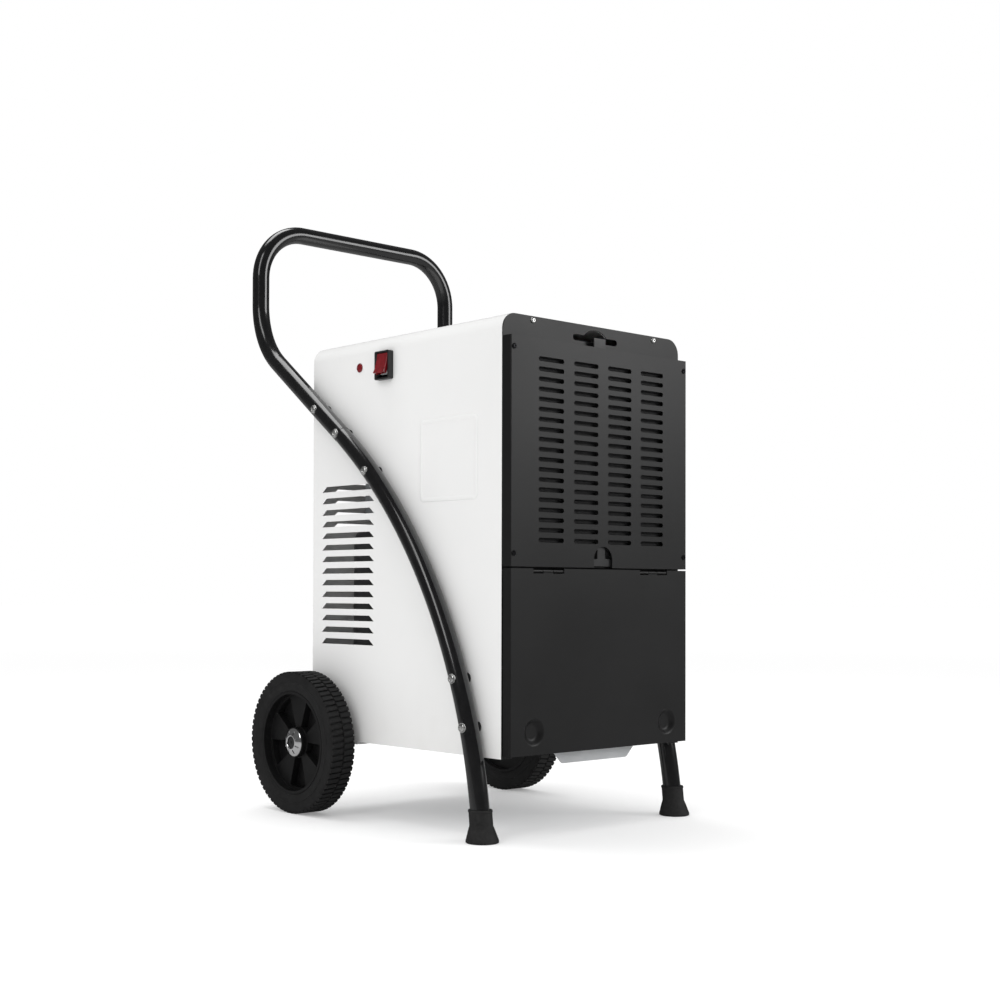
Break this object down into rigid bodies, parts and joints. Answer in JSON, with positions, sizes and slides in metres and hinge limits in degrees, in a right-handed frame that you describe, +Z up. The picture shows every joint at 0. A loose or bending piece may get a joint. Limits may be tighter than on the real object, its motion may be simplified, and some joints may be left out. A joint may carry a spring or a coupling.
{
  "type": "dehumidifier",
  "caption": "Upright condensing dehumidifier in a sheet-steel casing on a two-wheeled tubular trolley, with a front grille, slide-out filter, hinged flap and water tank.",
  "frame": {"origin": "on the floor, under the middle of the machine's bounding box", "axes": "+Z up, +X to the right seen from the grille side, -Y out of the grille side, +Y towards the handle"},
  "size_m": [0.4444, 0.548, 0.872],
  "materials": {
    "white_paint": "smooth satin white powder coat",
    "black_paint": "fine-textured satin black powder coat",
    "gloss_black_tube": "gloss black powder coat",
    "zinc_steel": "bright zinc-plated steel",
    "black_screw": "black oxide steel",
    "galvanised": "galvanised sheet steel",
    "rubber_black": "matte black moulded rubber",
    "tyre_rubber": "matte black solid tyre rubber with a block tread",
    "hub_plastic": "moulded black plastic",
    "black_plastic": "fine-grained black plastic",
    "filter_foam": "grey woven filter mesh",
    "tank_plastic": "translucent natural polypropylene",
    "float_plastic": "foamed plastic",
    "tray_plastic": "dark grey moulded plastic",
    "fin_aluminium": "thin aluminium fins",
    "copper": "bare copper tube",
    "compressor_paint": "grey painted steel shell",
    "dark_paint": "black painted steel",
    "circuit_board": "green circuit board with plain components",
    "capacitor_can": "plain aluminium can",
    "red_plastic": "translucent red plastic",
    "chrome": "bright chrome cap"
  },
  "bodies": {
    "root": {"casing": "white_paint", "base_pan": "galvanised", "rear_panel": "white_paint", "front_plate": "black_paint", "grille_panel": "black_paint", "grille_screws": "black_screw", "plate_screws": "zinc_steel", "grille_standoffs": "black_screw", "hinge_leaves_fixed": "black_paint", "hinge_pins": "zinc_steel", "bay_liner": "galvanised", "drip_tray": "tray_plastic", "evaporator_fins": "fin_aluminium", "evaporator_tube": "copper", "condenser_fins": "fin_aluminium", "condenser_tube": "copper", "fan_shroud": "galvanised", "fan_motor": "dark_paint", "motor_bracket": "galvanised", "compressor": "compressor_paint", "compressor_base": "dark_paint", "compressor_grommets": "rubber_black", "compressor_bolts": "zinc_steel", "accumulator": "dark_paint", "suction_pipes": "copper", "discharge_pipe": "copper", "liquid_pipe": "copper", "filter_drier": "copper", "capillary": "copper", "control_box": "galvanised", "control_board": "circuit_board", "capacitor": "capacitor_can", "switch_housing": "black_plastic", "rocker_pin": "zinc_steel", "indicator_lamp": "red_plastic", "cable_gland": "black_plastic", "leg_tube_left": "gloss_black_tube", "leg_tube_right": "gloss_black_tube", "handle_tube": "gloss_black_tube", "joint_sleeves": "zinc_steel", "frame_spacers": "rubber_black", "frame_screws": "zinc_steel", "rubber_feet": "rubber_black", "axle": "zinc_steel", "axle_fittings": "chrome"},
    "flap": {"flap": "black_paint", "hinge_leaves_moving": "black_paint"},
    "tank": {"tank": "tank_plastic", "float_bracket": "tank_plastic"},
    "float": {"float_arm": "tank_plastic", "float_block": "float_plastic"},
    "filter": {"filter_frame": "black_plastic", "filter_mesh": "filter_foam"},
    "fan": {"fan_rotor": "black_plastic", "fan_shaft": "zinc_steel"},
    "rocker": {"switch_rocker": "red_plastic"},
    "wheel_left": {"tyre_left": "tyre_rubber", "hub_left": "hub_plastic"},
    "wheel_right": {"tyre_right": "tyre_rubber", "hub_right": "hub_plastic"}
  },
  "joints": [
    {"name": "wheel_left_spin", "type": "hinge", "parent": "root", "child": "wheel_left", "pos_m": [-0.20185, 0.1235, 0.1], "axis": [1, 0, 0], "continuous": true},
    {"name": "wheel_right_spin", "type": "hinge", "parent": "root", "child": "wheel_right", "pos_m": [0.20185, 0.1235, 0.1], "axis": [1, 0, 0], "continuous": true},
    {"name": "fan_spin", "type": "hinge", "parent": "root", "child": "fan", "pos_m": [0, -0.0885, 0.4934], "axis": [0, 1, 0], "continuous": true},
    {"name": "flap_hinge", "type": "hinge", "parent": "root", "child": "flap", "pos_m": [0, -0.2685, 0.34], "axis": [-1, 0, 0], "range_deg": [0, 105]},
    {"name": "tank_slide", "type": "slide", "parent": "root", "child": "tank", "axis": [0, -1, 0], "range_m": [0, 0.25]},
    {"name": "float_hinge", "type": "hinge", "parent": "tank", "child": "float", "pos_m": [0, -0.0625, 0.231], "axis": [-1, 0, 0], "range_deg": [0, 30]},
    {"name": "filter_slide", "type": "slide", "parent": "root", "child": "filter", "axis": [0, 0, 1], "range_m": [0, 0.29]},
    {"name": "rocker_tilt", "type": "hinge", "parent": "root", "child": "rocker", "pos_m": [-0.1685, -0.0225, 0.623], "axis": [0, -1, 0], "range_deg": [0, 30]}
  ],
  "couplings": [
    {"joint": "tank_slide", "follows": "flap_hinge", "m_per_rad": 0.13641}
  ]
}
